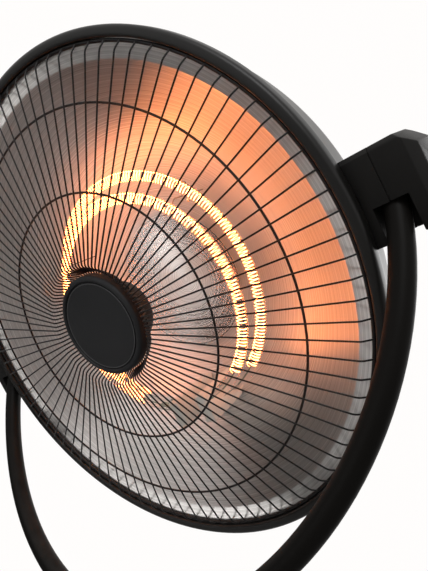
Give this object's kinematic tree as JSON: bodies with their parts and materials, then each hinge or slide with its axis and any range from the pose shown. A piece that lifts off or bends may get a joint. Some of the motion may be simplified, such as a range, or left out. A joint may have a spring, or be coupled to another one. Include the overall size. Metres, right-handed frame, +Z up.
{
  "type": "freestanding infrared heater",
  "caption": "Freestanding infrared heater: round dish with a wire guard and quartz lamps, tilting in a tubular yoke on a height-adjustable pole with a round base.",
  "frame": {"origin": "centre of the base at floor level, under the feet", "axes": "+Z up; -Y is the front, where the dish faces; +X is the object's left-right axis along the tilt pivots, towards the right in the picture"},
  "size_m": [0.626, 0.5, 1.9001],
  "materials": {
    "guard_black": "satin black coating on welded wire",
    "hub_black": "fine-textured black moulding",
    "reflector_aluminium": "spun and lightly brushed",
    "rim_black": "satin black rolled edge",
    "shell_grey": "satin grey paint",
    "quartz_glass": "clear quartz",
    "glowing_coil": "glowing heating coil",
    "lamp_metal": "bright wire and strip",
    "ceramic": "unglazed ceramic",
    "wire_insulation": "glass-fibre sleeve",
    "bracket_black": "matte black moulding",
    "bolt_steel": "zinc-plated",
    "gland_black": "matte black moulding",
    "switch_plastic": "plain insulating plastic",
    "cutout_metal": "bare",
    "stand_black": "satin black powder coat",
    "base_iron": "rough black",
    "foot_rubber": "matte"
  },
  "bodies": {
    "stand": {"lower_pole": "stand_black", "height_collar": "bracket_black", "base_plate": "base_iron", "base_cover": "stand_black", "pole_socket": "stand_black", "rubber_feet": "foot_rubber"},
    "mast": {"upper_pole": "stand_black", "yoke_clamp_base": "stand_black", "yoke_clamp_cap": "stand_black", "yoke_tube": "stand_black"},
    "clamp_knob": {"clamp_knob": "gland_black", "clamp_stud": "bolt_steel"},
    "selector_knob": {"selector_knob": "gland_black"},
    "head": {"guard_wires": "guard_black", "guard_outer_ring": "guard_black", "guard_middle_ring": "guard_black", "guard_inner_ring": "guard_black", "hub_cap": "hub_black", "hub_cup": "hub_black", "reflector": "reflector_aluminium", "rim_band": "rim_black", "back_shell": "shell_grey", "rear_lamp_tube": "quartz_glass", "front_lamp_tube": "quartz_glass", "rear_lamp_coil": "glowing_coil", "front_lamp_coil": "glowing_coil", "rear_lamp_leads": "lamp_metal", "front_lamp_leads": "lamp_metal", "lamp_clips": "lamp_metal", "lamp_end_posts": "ceramic", "inner_wiring": "wire_insulation", "bracket_inner_right": "bracket_black", "bracket_outer_right": "bracket_black", "bracket_inner_left": "bracket_black", "bracket_outer_left": "bracket_black", "rear_housing": "bracket_black", "pivot_bolts": "bolt_steel", "cord_gland": "gland_black", "terminal_block": "switch_plastic", "tip_switch": "switch_plastic", "selector_switch": "switch_plastic", "thermal_cutout": "cutout_metal"}
  },
  "joints": [
    {"name": "height_slide", "type": "slide", "parent": "stand", "child": "mast", "axis": [0, 0, 1], "range_m": [-0.25, 0.05]},
    {"name": "head_tilt", "type": "hinge", "parent": "mast", "child": "head", "pos_m": [0, 0, 1.68], "axis": [1, 0, 0], "range_deg": [-37, 4]},
    {"name": "clamp_turn", "type": "hinge", "parent": "stand", "child": "clamp_knob", "pos_m": [0, 0.05, 0.901], "axis": [0, 1, 0], "range_deg": [0, 360]},
    {"name": "selector_turn", "type": "hinge", "parent": "head", "child": "selector_knob", "pos_m": [0, 0.10739, 1.77344], "axis": [0, 0.7986, 0.6018], "range_deg": [0, 180]}
  ]
}
